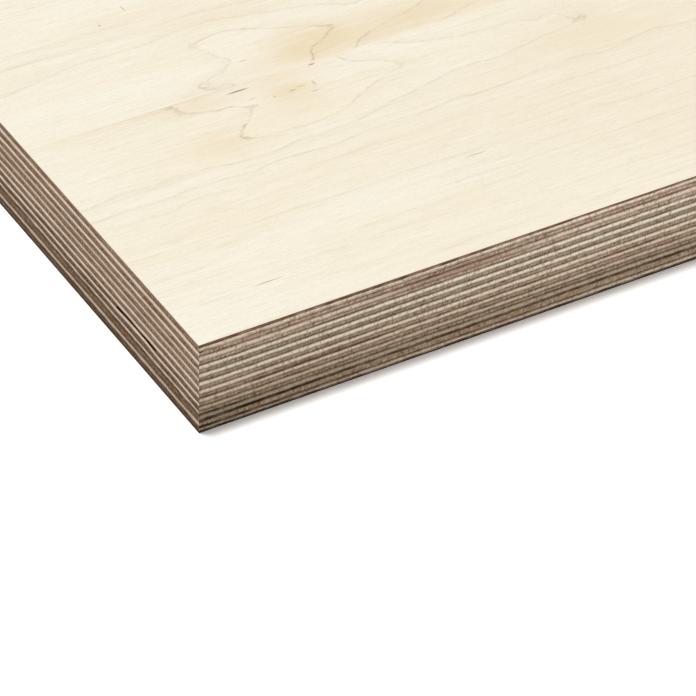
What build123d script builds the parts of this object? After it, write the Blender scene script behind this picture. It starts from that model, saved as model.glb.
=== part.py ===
from build123d import *
import os

# A full sheet of thick birch multiplex with maple faces, lying flat.
# X runs along the face grain and the long edge, Y across the sheet, Z up through its thickness.
# The origin is the middle of the underside. All sizes are millimetres.

# Sheet size
sheet_length = 2500.0
sheet_width = 1250.0

# Thicknesses after pressing and sanding
face_veneer = 0.5
back_veneer = 0.5
outer_ply = 1.6
core_ply = 1.4
thick_ply = 2.2

# How many plies of each kind, counted down from the face
upper_outer_plies = 3
core_plies = 13
lower_thick_plies = 2
lower_outer_plies = 1

# Face leaves: the long edge trims the first leaf, the rest share the width
trimmed_leaf_width = 100.0
whole_leaves = 6

# Core gap: an open slit in the edge where one long-grain ply was laid with a space in it
gap_ply_number = 13
gap_start = 24.0
gap_length = 22.8
gap_depth = 90.0
gap_end_height = 1.05
gap_waist_height = 0.45
gap_below_ply_top = 0.1

# Corner void: a small chip lost from the cross-grain ply under the first one
void_ply_number = 2
void_start = 0.15
void_length = 1.3
void_height = 0.5
void_depth = 4.0

# The lay-up, from the face down to the back
layup = (
    [outer_ply] * upper_outer_plies
    + [core_ply] * core_plies
    + [thick_ply] * lower_thick_plies
    + [outer_ply] * lower_outer_plies
)
sheet_thickness = face_veneer + sum(layup) + back_veneer

near_x = -sheet_length / 2
near_y = -sheet_width / 2


def slab(length, width, thickness, x, y, z):
    """A flat board whose lowest corner is at x, y, z."""
    place = Pos(x, y, z)
    board = Box(length, width, thickness, align=(Align.MIN, Align.MIN, Align.MIN))
    return place * board


def ply_bottom(number):
    """Height of the underside of a ply, where ply 1 lies under the face veneer."""
    return sheet_thickness - face_veneer - sum(layup[:number])


def core_gap():
    """The slit seen on the short edge: open at both ends, waisted between them."""
    ply_top = ply_bottom(gap_ply_number) + layup[gap_ply_number - 1]
    roof = ply_top - gap_below_ply_top
    start = near_y + gap_start
    end = start + gap_length
    middle = (start + end) / 2
    with BuildPart() as cutter:
        with BuildSketch(Plane.YZ.offset(near_x)):
            with BuildLine():
                Line((start, roof), (end, roof))
                Line((end, roof), (end, roof - gap_end_height))
                ThreePointArc(
                    (end, roof - gap_end_height),
                    (middle, roof - gap_waist_height),
                    (start, roof - gap_end_height),
                )
                Line((start, roof - gap_end_height), (start, roof))
            make_face()
        extrude(amount=gap_depth)
    return cutter.part


def corner_void():
    """The chip seen on the long edge beside the corner, in the top of its ply."""
    ply_top = ply_bottom(void_ply_number) + layup[void_ply_number - 1]
    start = near_x + void_start
    end = start + void_length
    middle = (start + end) / 2
    with BuildPart() as cutter:
        with BuildSketch(Plane.XZ.offset(-near_y)):
            with BuildLine():
                Line((start, ply_top), (end, ply_top))
                ThreePointArc((end, ply_top), (middle, ply_top - void_height), (start, ply_top))
            make_face()
        extrude(amount=-void_depth)
    return cutter.part


def core_ply_solid(number):
    """One ply of the core, with its gap or void where it has one."""
    thickness = layup[number - 1]
    ply = slab(sheet_length, sheet_width, thickness, near_x, near_y, ply_bottom(number))
    if number == gap_ply_number:
        ply = ply - core_gap()
    if number == void_ply_number:
        ply = ply - corner_void()
    return ply


def leaf_edges():
    """Where the face leaves start and end across the sheet, from the near long edge."""
    whole_leaf_width = (sheet_width - trimmed_leaf_width) / whole_leaves
    edges = [0.0, trimmed_leaf_width]
    for leaf in range(whole_leaves):
        edges.append(trimmed_leaf_width + whole_leaf_width * (leaf + 1))
    return edges


def veneer_leaves(thickness, z):
    """The spliced veneer of one side, as one solid for each leaf."""
    edges = leaf_edges()
    leaves = []
    for start, end in zip(edges, edges[1:]):
        leaves.append(slab(sheet_length, end - start, thickness, near_x, near_y + start, z))
    return leaves


def build_sheet():
    """Every piece of the sheet by its name."""
    pieces = {}
    face_leaves = veneer_leaves(face_veneer, sheet_thickness - face_veneer)
    for number, leaf in enumerate(face_leaves, start=1):
        pieces[f"face_leaf_{number}"] = leaf
    for number in range(1, len(layup) + 1):
        grain = "long" if number % 2 else "cross"
        pieces[f"ply_{number:02d}_{grain}"] = core_ply_solid(number)
    for number, leaf in enumerate(veneer_leaves(back_veneer, 0.0), start=1):
        pieces[f"back_leaf_{number}"] = leaf
    return pieces


os.makedirs("parts", exist_ok=True)
for name, piece in build_sheet().items():
    export_step(piece, f"parts/{name}.step")
print("sheet thickness", round(sheet_thickness, 3), "mm from", len(layup), "core plies")
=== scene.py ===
# %% [markdown]
# Thick plywood with a maple face
#
# A sheet of thick plywood is a stack of thin peeled veneers, glued with the grain of each crossing the
# next, with a finer wood on the outside. Seen from a corner it is nearly all surface: a pale face with
# a faint figure, and two sawn edges striped by the plies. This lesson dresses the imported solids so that
# both read as wood, close up at the corner and from across the room.

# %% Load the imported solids
import math

import bmesh
import bpy
import numpy as np
from mathutils import Matrix, Vector


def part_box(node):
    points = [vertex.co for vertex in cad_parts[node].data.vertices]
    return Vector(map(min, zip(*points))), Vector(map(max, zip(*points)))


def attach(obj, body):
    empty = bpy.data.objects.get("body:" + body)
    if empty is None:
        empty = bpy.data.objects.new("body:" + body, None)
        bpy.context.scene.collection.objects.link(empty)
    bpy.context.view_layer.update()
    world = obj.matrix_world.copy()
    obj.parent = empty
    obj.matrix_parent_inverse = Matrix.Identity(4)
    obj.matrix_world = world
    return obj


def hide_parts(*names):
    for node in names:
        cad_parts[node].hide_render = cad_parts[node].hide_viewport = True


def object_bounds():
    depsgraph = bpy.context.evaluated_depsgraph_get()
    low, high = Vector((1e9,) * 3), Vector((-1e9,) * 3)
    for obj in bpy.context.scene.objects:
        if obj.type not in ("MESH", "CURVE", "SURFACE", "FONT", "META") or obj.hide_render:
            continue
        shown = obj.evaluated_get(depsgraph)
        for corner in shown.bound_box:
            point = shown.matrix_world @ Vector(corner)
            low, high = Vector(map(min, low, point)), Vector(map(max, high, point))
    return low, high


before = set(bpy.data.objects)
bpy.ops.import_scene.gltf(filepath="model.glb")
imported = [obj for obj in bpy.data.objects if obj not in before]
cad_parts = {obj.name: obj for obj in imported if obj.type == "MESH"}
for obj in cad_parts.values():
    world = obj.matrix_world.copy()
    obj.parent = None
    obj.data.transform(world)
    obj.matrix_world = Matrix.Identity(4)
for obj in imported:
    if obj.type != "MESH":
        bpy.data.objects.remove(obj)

solid_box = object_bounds()
bpy.context.scene.view_settings.view_transform = "Standard"
mm = 0.001
low, high = solid_box
sheet_length, sheet_width, sheet_height = high - low
near_corner = Vector((low.x, low.y, high.z))
print("sheet in millimetres:", [round(side / mm, 2) for side in (sheet_length, sheet_width, sheet_height)])

# %% [markdown]
# The camera
#
# The picture is a long-lens product shot: the two edges hardly converge. Three directions in the
# picture, along the two edges and down the corner, fix where the lens stands, so the camera is written
# as angles round the near corner, the distance to it, and the place in the picture where that corner
# falls. No shift is needed.

# %% Camera
picture_pixels = 696
corner_pixel_x = 198.67
corner_pixel_y = 345.58
lens_pixels = 4328.3
sensor_width_mm = 36.0
camera_azimuth = math.radians(238.91)
camera_elevation = math.radians(38.25)
camera_roll = math.radians(1.32)
corner_distance = 1.1418
nearest_seen, farthest_seen = 0.05, 200.0


def direction(azimuth, elevation):
    """The unit vector toward something seen at these two angles."""
    level = math.cos(elevation)
    return Vector((math.cos(azimuth) * level, math.sin(azimuth) * level, math.sin(elevation)))


def stand(name, data):
    """Puts an object with this data into the scene."""
    thing = bpy.data.objects.new(name, data)
    bpy.context.scene.collection.objects.link(thing)
    return thing


def place_camera():
    """Stands the camera so that the near top corner falls where the picture has it."""
    toward_camera = direction(camera_azimuth, camera_elevation)
    level = (-toward_camera).cross(Vector((0, 0, 1))).normalized()
    upright = level.cross(-toward_camera)
    right = level * math.cos(camera_roll) + upright * math.sin(camera_roll)
    up = upright * math.cos(camera_roll) - level * math.sin(camera_roll)
    across = (corner_pixel_x - picture_pixels / 2) / lens_pixels * corner_distance
    above = (picture_pixels / 2 - corner_pixel_y) / lens_pixels * corner_distance
    data = bpy.data.cameras.new("photo_camera")
    data.sensor_width = sensor_width_mm
    data.lens = lens_pixels / picture_pixels * sensor_width_mm
    data.clip_start = nearest_seen
    data.clip_end = farthest_seen
    camera = stand("photo_camera", data)
    turned = Matrix((right, up, toward_camera)).transposed().to_4x4()
    place = near_corner - right * across - up * above + toward_camera * corner_distance
    camera.matrix_world = Matrix.Translation(place) @ turned
    bpy.context.scene.camera = camera
    return camera


camera = place_camera()
print("lens", round(camera.data.lens, 1), "mm, camera at", [round(c, 3) for c in camera.location])

# %% [markdown]
# Light and floor
#
# The shot has a white sweep and nearly no shadow: only a soft grey band under the right-hand edge. A
# bright sky all round gives the even base. One soft sun almost overhead, leaning from behind and from
# the left, leaves the band under the right-hand edge, and a low soft fill from the front keeps the sawn
# edges readable. Suns are used rather than lamps at a place because the sheet is two and a half metres
# long and must be lit the same all over.

# %% Small helpers for shader nodes
def paint(red, green, blue):
    """The linear values that a shader takes for a colour given as it looks on screen, from 0 to 255."""
    linear = []
    for value in (red, green, blue):
        share = value / 255
        linear.append(share / 12.92 if share <= 0.04045 else ((share + 0.055) / 1.055) ** 2.4)
    return (*linear, 1.0)


def put(tree, kind, inputs=None, **settings):
    """Adds a node, sets its options, and gives its inputs values or links."""
    made = tree.nodes.new(kind)
    for name, value in settings.items():
        setattr(made, name, value)
    for key, value in (inputs or {}).items():
        if isinstance(value, bpy.types.NodeSocket):
            tree.links.new(value, made.inputs[key])
        else:
            made.inputs[key].default_value = value
    return made


def sums(tree, operation, first, second=0.0, third=0.0):
    """One Math node, and its result."""
    return put(tree, "ShaderNodeMath", {0: first, 1: second, 2: third}, operation=operation).outputs[0]


def times(tree, first, *others):
    """Values multiplied together."""
    for other in others:
        first = sums(tree, "MULTIPLY", first, other)
    return first


def scaled(tree, value, factor, offset):
    """A value times a factor, with an offset added."""
    return sums(tree, "MULTIPLY_ADD", value, factor, offset)


def vectors(tree, operation, first, second):
    """One Vector Math node, and its result."""
    return put(tree, "ShaderNodeVectorMath", {0: first, 1: second}, operation=operation).outputs[0]


def smooth(tree, value, start, end, low_value=0.0, high_value=1.0):
    """A soft step from one value to another as the input goes from start to end."""
    inputs = {"Value": value, "From Min": start, "From Max": end, "To Min": low_value, "To Max": high_value}
    return put(tree, "ShaderNodeMapRange", inputs, interpolation_type="SMOOTHSTEP").outputs[0]


def mix(tree, factor, first, second, blend="MIX"):
    """Two colours mixed by a factor."""
    inputs = {0: factor, 6: first, 7: second}
    return put(tree, "ShaderNodeMix", inputs, data_type="RGBA", blend_type=blend).outputs[2]


def grey(tree, value):
    """A value as a grey colour."""
    return put(tree, "ShaderNodeCombineColor", {0: value, 1: value, 2: value}).outputs[0]


def noise(tree, place, bumps, detail=2.0, roughness=0.5):
    """Smooth noise from 0 to 1 over a place in millimetres; bumps is how many there are to a millimetre."""
    inputs = {"Vector": vectors(tree, "MULTIPLY", place, bumps), "Scale": 1.0}
    inputs |= {"Detail": detail, "Roughness": roughness}
    return put(tree, "ShaderNodeTexNoise", inputs).outputs[0]


def millimetres(tree):
    """The place on the object, in millimetres."""
    place = put(tree, "ShaderNodeTexCoord").outputs["Object"]
    return put(tree, "ShaderNodeVectorMath", {0: place, "Scale": 1 / mm}, operation="SCALE").outputs[0]


def cleared(owner):
    """The emptied node tree of a material or a sky."""
    owner.use_nodes = True
    owner.node_tree.nodes.clear()
    return owner.node_tree


def new_material(name):
    """A material that holds only its output and its Principled shader."""
    material = bpy.data.materials.new(name)
    tree = cleared(material)
    shader = put(tree, "ShaderNodeBsdfPrincipled")
    put(tree, "ShaderNodeOutputMaterial", {"Surface": shader.outputs[0]})
    return material, tree, shader


# %% Sky, suns and floor
sky_level = 0.30
sun_level = 0.60
sun_azimuth = math.radians(125)
sun_elevation = math.radians(83.7)
sun_spread = math.radians(8)
fill_level = 0.38
fill_azimuth = math.radians(228)
fill_elevation = math.radians(16)
fill_spread = math.radians(50)
floor_size = 120.0
floor_gap = 0.05 * mm
floor_shade = 0.80
floor_seen_white = 1.22


def seen_directly(tree):
    """1 where the camera, a reflection or a see-through surface looks, 0 for the light on things."""
    path = put(tree, "ShaderNodeLightPath")
    seen = sums(tree, "MAXIMUM", path.outputs["Is Camera Ray"], path.outputs["Is Glossy Ray"])
    return sums(tree, "MAXIMUM", seen, path.outputs["Is Transmission Ray"])


def make_sky():
    """An even white sky that lights gently and is seen as plain white."""
    world = bpy.data.worlds.new("white_sky")
    bpy.context.scene.world = world
    tree = cleared(world)
    strength = smooth(tree, seen_directly(tree), 0.0, 1.0, sky_level, 1.0)
    background = put(tree, "ShaderNodeBackground", {"Color": (1, 1, 1, 1), "Strength": strength})
    put(tree, "ShaderNodeOutputWorld", {"Surface": background.outputs[0]})


def add_sun(name, azimuth, elevation, level, spread):
    """A soft sun. A face square to it, as white as paper, shows the level given."""
    data = bpy.data.lights.new(name, "SUN")
    data.energy = level * math.pi
    data.angle = spread
    sun = stand(name, data)
    sun.rotation_euler = direction(azimuth, elevation).to_track_quat("Z", "Y").to_euler()


def make_floor():
    """A wide plain floor that is seen a little whiter than it lights, and keeps the sheet's shadow."""
    half = floor_size / 2
    mesh = bpy.data.meshes.new("floor")
    corners = [(x, y, -floor_gap) for x, y in ((-half, -half), (half, -half), (half, half), (-half, half))]
    mesh.from_pydata(corners, [], [(0, 1, 2, 3)])
    floor = stand("floor", mesh)
    material = bpy.data.materials.new("pale_floor")
    tree = cleared(material)
    shade = smooth(tree, seen_directly(tree), 0.0, 1.0, floor_shade, floor_seen_white)
    diffuse = put(tree, "ShaderNodeBsdfDiffuse", {"Color": grey(tree, shade)})
    put(tree, "ShaderNodeOutputMaterial", {"Surface": diffuse.outputs[0]})
    mesh.materials.append(material)


make_sky()
add_sun("overhead_sun", sun_azimuth, sun_elevation, sun_level, sun_spread)
add_sun("front_fill", fill_azimuth, fill_elevation, fill_level, fill_spread)
make_floor()
from_suns = sun_level * math.sin(sun_elevation) + fill_level * math.sin(fill_elevation)
print("level on the face:", round(sky_level + from_suns, 2))

# %% [markdown]
# The plies in the stack
#
# The frame already says where each ply lies, so nothing is measured again: the glue lines are the
# heights where one solid ends and the next begins. What the flat solids lack is life. Peeled veneer is
# never quite even, and the press squeezes it, so on a real edge the glue lines wander up and down by a
# few tenths of a millimetre. The wander is worked out once for each glue line, and the two plies that
# meet there both use it, so the pieces still touch all round with neither a gap nor an overlap.

# %% Glue lines and their wander
ply_names = sorted(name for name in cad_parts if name.startswith("ply_"))
face_names = sorted(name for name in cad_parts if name.startswith("face_leaf_"))
back_names = sorted(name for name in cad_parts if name.startswith("back_leaf_"))
glue_heights = [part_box(ply_names[0])[1].z] + [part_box(name)[0].z for name in ply_names]
# How far the lines lie above their even height along the long edge (front) and the short one (left):
# millimetres from the corner, millimetres up
front_rise = (
    (0, -0.2), (8, -0.42), (30, -0.3), (55, -0.2), (85, -0.1),
    (115, 0.0), (143, 0.15), (260, 0.2), (700, 0.0),
)
left_rise = (
    (0, -0.2), (12, -0.02), (33, 0.03), (58, 0.13), (80, 0.2), (105, 0.28), (240, 0.25), (600, 0.0),
)
# Sine waves over the sheet, each by its length in metres and its height
slow_wander = ((0.61, 0.12 * mm), (0.27, 0.10 * mm))
quick_wander = ((0.047, 0.05 * mm), (0.0127, 0.04 * mm), (0.0061, 0.03 * mm))
slow_wander_from = 600.0
shared_seed, line_seed = 11, 100
least_slant, most_slant = 0.25, 0.75
crest_share = 0.7
lowest_line_freedom = 0.7
most_own_wander = 0.8
gap_start, gap_length = 24.0, 22.8
# Glue lines counted down from the face: those pushed up under the core gap, and those that the press left
# uneven, by how far they lie up on the long edge and on the short one
bulges_under_gap = {13: 0.45 * mm, 14: 0.38 * mm, 15: 0.10 * mm}
bulge_depth = 110.0
uneven_lines = {16: (0.0, -0.12 * mm), 17: (0.30 * mm, -0.45 * mm)}
uneven_from_corner = 8.0


def from_corner(x, y):
    """Places on the sheet as millimetres from the near corner, along the long edge and the short one."""
    return (x - low.x) / mm, (y - low.y) / mm


def soft_step(value):
    """0 up to 0, 1 from 1 on, and a smooth rise between."""
    held = np.clip(value, 0.0, 1.0)
    return held * held * (3 - 2 * held)


def waves(x, y, parts, seed):
    """A sum of slanting sine waves over the sheet; parts gives each one's length and height."""
    chance = np.random.default_rng(seed)
    total = np.zeros_like(x)
    for length, height in parts:
        slant = chance.uniform(least_slant, most_slant) * math.pi / 2
        phase = chance.uniform(0, 2 * math.pi)
        along = x * math.cos(slant) + y * math.sin(slant)
        total += height * np.sin(2 * math.pi * along / (length * crest_share) + phase)
    return total


def glue_line(number, x, y):
    """The height of one glue line at places on the sheet. The top and bottom ones stay flat."""
    last = len(glue_heights) - 1
    freedom = min(1.0, number, lowest_line_freedom * (last - number))
    from_left, from_front = from_corner(x, y)
    out = np.hypot(from_left, from_front)
    along_front = np.interp(from_left, *np.transpose(front_rise))
    along_left = np.interp(from_front, *np.transpose(left_rise))
    on_left = soft_step(1 - from_left / np.maximum(from_front, 1e-6))
    pressed = mm * (on_left * along_left + (1 - on_left) * along_front)
    own = waves(x, y, quick_wander, line_seed + number)
    shared = pressed + soft_step(out / slow_wander_from) * waves(x, y, slow_wander, shared_seed)
    height = glue_heights[number] + freedom * shared + min(freedom, most_own_wander) * own
    if number in uneven_lines:
        up_on_front, up_on_left = uneven_lines[number]
        own_rise = on_left * up_on_left + (1 - on_left) * up_on_front
        height = height + own_rise * soft_step(out / uneven_from_corner)
    if number in bulges_under_gap:
        under_gap = np.sin(math.pi * np.clip((from_front - gap_start) / gap_length, 0, 1))
        inside = 1 - soft_step(from_left / bulge_depth)
        height = height + bulges_under_gap[number] * under_gap * inside
    return height


print(len(ply_names), "plies and", len(glue_heights), "glue lines")

# %% [markdown]
# Stations round the edge
#
# The corner is seen from a metre away and the far end hardly at all, so the mesh is fine near the
# corner and widens towards the far ends. One list of stations along each side serves every ply, so that
# they all share the same columns.

# %% Stations
fine_run = 0.20
wide_step = 14 * mm
step_growth = 1.12
last_step_room = 1.6
corner_step, edge_step = 0.5 * mm, 1.5 * mm


def stations(length, fine_step, widest=wide_step, fine_length=fine_run):
    """Distances along a side, close together at first and growing to the widest step."""
    places = [0.0]
    step = fine_step
    while places[-1] + last_step_room * step < length:
        places.append(places[-1] + step)
        if places[-1] > fine_length:
            step = min(step * step_growth, widest)
    return np.array(places + [length])


class Ring:
    """The places round a rectangle, anticlockwise from its nearest corner."""

    def __init__(self, x_places, y_places):
        self.across, self.deep = len(x_places) - 1, len(y_places) - 1
        front = [(x, y_places[0]) for x in x_places[:-1]]
        right = [(x_places[-1], y) for y in y_places[:-1]]
        back = [(x, y_places[-1]) for x in x_places[:0:-1]]
        left = [(x_places[0], y) for y in y_places[:0:-1]]
        self.places = np.array(front + right + back + left)
        self.count = len(self.places)
        self.inward = np.zeros_like(self.places)
        for axis, ends in enumerate((x_places, y_places)):
            self.inward[self.places[:, axis] == ends[0], axis] = 1
            self.inward[self.places[:, axis] == ends[-1], axis] = -1

    def wall(self, lower, upper):
        """Faces between two rows of points that each go once round."""
        steps = [(i, (i + 1) % self.count) for i in range(self.count)]
        return [(lower + i, lower + j, upper + j, upper + i) for i, j in steps]

    def cap(self, first, upward):
        """Faces that fill one row of points: strips across, with a fan at each end."""
        across, deep, half = self.across, self.deep, self.deep // 2
        over = 2 * across + deep
        faces = [(i, i + 1, over - i - 1, over - i) for i in range(1, across - 1)]
        left = [(over + j) % self.count for j in range(deep + 1)]
        right = [across + j for j in range(deep + 1)]
        near_left, far_left, near_right, far_right = 1, over - 1, across - 1, over - across + 1
        faces += [(far_left, left[j], left[j + 1]) for j in range(half)]
        faces += [(near_left, far_left, left[half])]
        faces += [(near_left, left[j], left[j + 1]) for j in range(half, deep)]
        faces += [(near_right, right[j], right[j + 1]) for j in range(half)]
        faces += [(near_right, right[half], far_right)]
        faces += [(far_right, right[j], right[j + 1]) for j in range(half, deep)]
        return [tuple(first + v for v in (face if upward else reversed(face))) for face in faces]


edge_ring = Ring(
    low.x + np.insert(stations(sheet_length, edge_step), 1, corner_step),
    low.y + np.insert(stations(sheet_width, edge_step), 1, corner_step),
)
print(edge_ring.count, "columns round the edge")

# %% [markdown]
# A map for every piece
#
# The materials need no map, but a model that leaves this program carries its colours as pictures. The
# sawn edge is millimetres high and metres long, and an automatic map would give it a few pixels. So the
# map is laid out: the wall is a ribbon cut into rows, the broad grid of a leaf is cut into
# strips, and the faces that are hidden in the stack share a narrow band.

# %% Map layout
edge_slot, hidden_slot, face_slot = 0, 1, 2
hidden_band, hidden_share = 0.04, 0.4
wall_margin, broad_margin = 0.06, 0.01
row_overlap = 1.7 * wide_step


def mesh_numbers(collection, label, kind, width=1):
    """One property of all the parts of a mesh, as an array."""
    numbers = np.empty(len(collection) * width, kind)
    collection.foreach_get(label, numbers)
    return numbers.reshape(-1, width) if width > 1 else numbers


def between(places, start, end):
    """How far places lie from start to end, held from 0 to 1."""
    return np.clip((places - start) / (end - start), 0.0, 1.0)


def folded(along, total, rows, face_of_corner, starts):
    """Cuts a long run into rows: the row of each corner, and how far along its row it is, from 0 to 1."""
    first_of_face = np.minimum.reduceat(along, starts)
    row_of_face = np.clip((first_of_face / total * rows).astype(int), 0, rows - 1)
    row = row_of_face[face_of_corner]
    return row, np.clip((along - row * total / rows) / (total / rows + row_overlap), 0.0, 1.0)


def within_row(row, share, margin):
    """A height in the map, counted in rows, with a margin kept free at both sides of each row."""
    return row + margin + (1 - 2 * margin) * share


def lay_out_map(mesh, box, strips, wall_rows, wall_top, main_box=None):
    """Writes the map of one piece, from its outside box and the box that its broad face covers."""
    points = mesh_numbers(mesh.vertices, "co", np.float64, 3)
    normal = mesh_numbers(mesh.polygons, "normal", np.float64, 3)
    slot = mesh_numbers(mesh.polygons, "material_index", np.int32)
    sizes = mesh_numbers(mesh.polygons, "loop_total", np.int32)
    x, y, z = points[mesh_numbers(mesh.loops, "vertex_index", np.int32)].T
    face = np.repeat(np.arange(len(sizes)), sizes)
    starts = np.concatenate([[0], np.cumsum(sizes)[:-1]])
    (x0, y0, z0), (x1, y1, z1) = box
    wide, deep = x1 - x0, y1 - y0
    along_sides = np.stack([x - x0, wide + y - y0, wide + deep + x1 - x, 2 * wide + deep + y1 - y])
    looks = np.stack([-normal[:, 1], normal[:, 0], normal[:, 1], -normal[:, 0]])
    along = along_sides[np.argmax(looks, axis=0)[face], np.arange(len(face))]
    row, share = folded(along, 2 * (wide + deep), wall_rows, face, starts)
    up = within_row(row, between(z, z0, z1), wall_margin) / wall_rows
    wall = np.stack([share, hidden_band + (wall_top - hidden_band) * up], axis=1)
    up = (normal[face, 2] > 0) / 2 + hidden_share * (y - y0) / deep
    hidden = np.stack([(x - x0) / wide, hidden_band * up], axis=1)
    (x0, y0, z0), (x1, y1, z1) = main_box or box
    row, share = folded(x - x0, x1 - x0, strips, face, starts)
    up = within_row(row, between(y, y0, y1), broad_margin) / strips
    main = np.stack([share, wall_top + (1 - wall_top) * up], axis=1)
    kind = slot[face][:, None]
    places = np.where(kind == edge_slot, wall, np.where(kind == face_slot, main, hidden))
    layer = mesh.uv_layers.new(name="OFBake")
    layer.data.foreach_set("uv", places.ravel())


def make_mesh(name, points, faces, slots, materials):
    """A plain mesh with its material slots."""
    mesh = bpy.data.meshes.new(name)
    mesh.from_pydata(np.asarray(points).tolist(), [], faces)
    for material in materials:
        mesh.materials.append(material)
    mesh.polygons.foreach_set("material_index", slots)
    mesh.update()
    return mesh


def set_values(mesh, values, domain="POINT"):
    """Writes numbers on the points or face corners of a mesh, for its materials to read."""
    for label, numbers in values.items():
        attribute = mesh.attributes.new(label, "FLOAT", domain)
        attribute.data.foreach_set("value", np.asarray(numbers, np.float32))


def put_in_place(name, mesh, node):
    """Stands a finished mesh in for its solid."""
    piece = stand(name, mesh)
    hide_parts(node)
    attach(piece, "root")
    return piece


# %% [markdown]
# What the sawn edge shows
#
# A saw cuts every second ply along its grain and the others across it. Along the grain the wood is
# planed pale and silky. Across it the open ends of the fibres drink the light and read brown. Between
# them the glue has soaked a little way into both plies and dried dark. One node group paints all of
# that from the distance to the glue lines above and below, and each material says which way its ply
# runs. Where the long edge meets the corner, the lowest lines are painted nearly black as shade, and
# the mesh says how much.

# %% Node group: sawn edge
def new_group(name, inputs, outputs):
    """An empty node group with named sockets."""
    tree = bpy.data.node_groups.new(name, "ShaderNodeTree")
    kinds = {"colour": "NodeSocketColor", "value": "NodeSocketFloat", "place": "NodeSocketVector"}
    for side, sockets in (("INPUT", inputs), ("OUTPUT", outputs)):
        for label, kind in sockets.items():
            tree.interface.new_socket(label, in_out=side, socket_type=kinds[kind])
    return tree, put(tree, "NodeGroupInput").outputs


def give(tree, results):
    """Ends a node group with what it gives out."""
    put(tree, "NodeGroupOutput", results)
    return tree


def use_group(tree, group, inputs):
    """Places a node group with its own values and gives its outputs."""
    return put(tree, "ShaderNodeGroup", inputs, node_tree=group).outputs


# The nearly black of the painted shade on the lowest glue lines near the corner
painted_shade_colour = paint(44, 25, 11)


def build_sawn_edge():
    """Colour, roughness and height of a sawn edge, from the distances to the glue lines."""
    tree, given = new_group("sawn_edge", {
        "Place": "place", "Rise": "value", "Drop": "value", "End Grain": "value", "Seep": "value",
        "Side Colour": "colour", "End Colour": "colour", "Glue Colour": "colour", "Shaded": "value",
    }, {"Colour": "colour", "Roughness": "value", "Height": "value"})
    place, end_grain = given["Place"], given["End Grain"]
    streaks = noise(tree, place, (0.13, 0.13, 2.6), 3.0, 0.6)
    grit = noise(tree, place, (1.5, 1.5, 1.0), 3.0, 0.65)
    side = mix(tree, smooth(tree, grit, 0.47, 0.70, 0.0, 0.6), given["Side Colour"], given["End Colour"])
    end = mix(tree, smooth(tree, grit, 0.50, 0.70, 0.0, 0.85), given["End Colour"], given["Glue Colour"])
    end = mix(tree, smooth(tree, grit, 0.48, 0.28, 0.0, 0.6), end, given["Side Colour"])
    end = mix(tree, smooth(tree, streaks, 0.42, 0.72, 0.0, 0.25), end, given["Side Colour"])
    wood = mix(tree, end_grain, side, end)
    wander = noise(tree, place, (0.6, 0.6, 0.45), 3.0, 0.65)
    reach = scaled(tree, given["Seep"], 0.2, scaled(tree, wander, 0.34, -0.17))
    nearest = sums(tree, "MINIMUM", given["Rise"], given["Drop"])
    fade = scaled(tree, end_grain, -0.14, 0.52)
    glue = smooth(tree, sums(tree, "SUBTRACT", nearest, reach), 0.0, fade, 1.0, 0.0)
    patchy = smooth(tree, noise(tree, place, (0.25, 0.25, 0.8)), 0.28, 0.65, 0.7, 1.0)
    soaked = sums(tree, "MINIMUM", scaled(tree, given["Seep"], 0.45, 0.4), 1.0)
    # Near the corner the real glue colour is mixed toward painted shade, nearly black
    glue_and_shade = mix(tree, given["Shaded"], given["Glue Colour"], painted_shade_colour)
    rough = smooth(tree, grit, 0.0, 1.0, 0.62, 0.9)
    return give(tree, {
        "Colour": mix(tree, times(tree, glue, patchy, soaked), wood, glue_and_shade),
        "Roughness": sums(tree, "SUBTRACT", rough, times(tree, glue, 0.18)),
        "Height": scaled(tree, streaks, 0.04, times(tree, grit, 0.06)),
    })


sawn_edge = build_sawn_edge()
print("sawn_edge has", len(sawn_edge.nodes), "nodes")

# %% Node group: edge shade
def build_edge_shade():
    """1 on the upper part of an edge, less near the floor: painted shade that darkens the lower plies."""
    tree, given = new_group("edge_shade", {"Place": "place", "Least": "value"}, {"Shade": "value"})
    height = put(tree, "ShaderNodeSeparateXYZ", {0: given["Place"]}).outputs["Z"]
    cloud = noise(tree, given["Place"], (0.03, 0.03, 0.15))
    moved = scaled(tree, cloud, 3.0, sums(tree, "SUBTRACT", height, 1.5))
    return give(tree, {"Shade": smooth(tree, moved, 2.0, 12.0, given["Least"], 1.0)})


edge_shade = build_edge_shade()

# %% Node group: soft spot
def build_soft_spot():
    """1 at the middle of a soft-edged spot, 0 beyond its reach; for stains, streaks and small marks."""
    inputs = {"Place": "place", "Centre": "place", "Reach": "place", "Softness": "value"}
    tree, given = new_group("soft_spot", inputs, {"Spot": "value"})
    away = vectors(tree, "SUBTRACT", given["Place"], given["Centre"])
    shares = vectors(tree, "DIVIDE", away, given["Reach"])
    far = put(tree, "ShaderNodeVectorMath", {0: shares}, operation="LENGTH").outputs["Value"]
    core = sums(tree, "SUBTRACT", 1.0, given["Softness"])
    return give(tree, {"Spot": smooth(tree, far, core, 1.0, 1.0, 0.0)})


soft_spot = build_soft_spot()

# %% Materials for the plies
long_side_colour = paint(246, 229, 206)
long_end_colour = paint(134, 105, 80)
cross_side_colour = paint(250, 231, 209)
cross_end_colour = paint(179, 155, 132)
glue_colour = paint(93, 67, 46)
stain_colour = paint(203, 188, 183)
cool_tint, warm_tint, red_tint = (0.955, 1.0, 0.975, 1), (1.0, 0.965, 0.95, 1), (1.0, 0.82, 0.76, 1)
red_power, blue_power = 0.93, 1.16
relief_depth, sawn_shine = 0.5, 0.05
stain_softness = 0.8
least_shade = 0.75


def on_sheet(from_left, from_front, depth):
    """A place in the object's own millimetres, from the near corner and down from the face."""
    corner = near_corner / mm
    return (corner.x + from_left, corner.y + from_front, corner.z - depth)


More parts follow.
